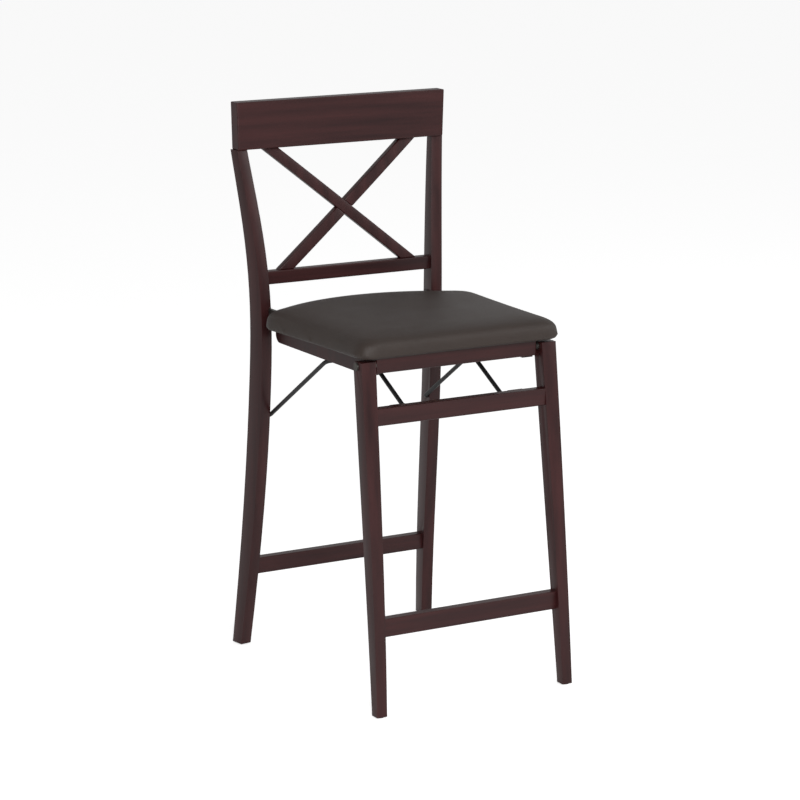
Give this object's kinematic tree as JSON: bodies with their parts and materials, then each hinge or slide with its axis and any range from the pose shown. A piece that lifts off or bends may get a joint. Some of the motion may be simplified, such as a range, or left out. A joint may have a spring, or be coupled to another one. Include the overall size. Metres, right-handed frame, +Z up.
{
  "type": "folding counter stool",
  "caption": "Folding wooden counter stool with a padded vinyl seat, a crossed slat back, curved rear posts and steel brace rods.",
  "frame": {"origin": "on the floor, under the middle of the open stool's box", "axes": "+Z up, +X across the stool to the right as seen from its front, -Y towards its front"},
  "size_m": [0.4074, 0.4916, 0.945],
  "materials": {
    "espresso_wood": "satin espresso stain",
    "bare_hardwood": "plain hardwood",
    "seat_plywood": "dark painted plywood",
    "seat_vinyl": "semi-gloss grained vinyl",
    "black_steel": "satin black",
    "dark_hardware": "dark zinc",
    "foot_glide": "moulded"
  },
  "bodies": {
    "back_frame": {"crest_rail": "espresso_wood", "lower_back_rail": "espresso_wood", "rear_stretcher": "espresso_wood", "front_x_slat": "espresso_wood", "rear_x_slat": "espresso_wood", "rear_frame_dowels": "bare_hardwood", "left_rear_leg": "espresso_wood", "right_rear_leg": "espresso_wood", "left_hinge_plate": "dark_hardware", "right_hinge_plate": "dark_hardware", "left_hinge_pin": "dark_hardware", "right_hinge_pin": "dark_hardware", "rear_foot_glides": "foot_glide"},
    "seat": {"seat_cushion": "seat_vinyl", "seat_board": "seat_plywood", "left_side_rail": "espresso_wood", "right_side_rail": "espresso_wood", "seat_apron": "espresso_wood", "seat_rear_rail": "bare_hardwood", "left_glide_strip": "bare_hardwood", "right_glide_strip": "bare_hardwood", "left_leg_bolt": "dark_hardware", "right_leg_bolt": "dark_hardware", "leg_bolt_washers": "dark_hardware"},
    "front_frame": {"left_front_leg": "espresso_wood", "right_front_leg": "espresso_wood", "upper_front_rail": "espresso_wood", "front_stretcher": "espresso_wood", "front_frame_dowels": "bare_hardwood", "front_foot_glides": "foot_glide", "brace_brackets": "dark_hardware", "bracket_screws": "dark_hardware"},
    "rear_brace": {"rear_brace_rod": "black_steel"},
    "front_brace": {"front_brace_rod": "black_steel"}
  },
  "joints": [
    {"name": "seat_fold", "type": "hinge", "parent": "back_frame", "child": "seat", "pos_m": [0, 0.148, 0.592], "axis": [-1, 0, 0], "range_deg": [0, 70]},
    {"name": "front_leg_fold", "type": "hinge", "parent": "seat", "child": "front_frame", "pos_m": [0, -0.172, 0.565], "axis": [1, 0, 0], "range_deg": [0, 73]},
    {"name": "rear_brace_swing", "type": "hinge", "parent": "back_frame", "child": "rear_brace", "pos_m": [0, 0.1805, 0.4125], "axis": [-1, 0, 0], "range_deg": [0, 28]},
    {"name": "front_brace_swing", "type": "hinge", "parent": "front_frame", "child": "front_brace", "pos_m": [0, -0.168, 0.487], "axis": [-1, 0, 0], "range_deg": [0, 96.7]}
  ],
  "couplings": [
    {"joint": "front_leg_fold", "follows": "seat_fold", "ratio": 1.0429},
    {"joint": "rear_brace_swing", "follows": "seat_fold", "ratio": 0.4},
    {"joint": "front_brace_swing", "follows": "seat_fold", "ratio": 1.3814}
  ]
}
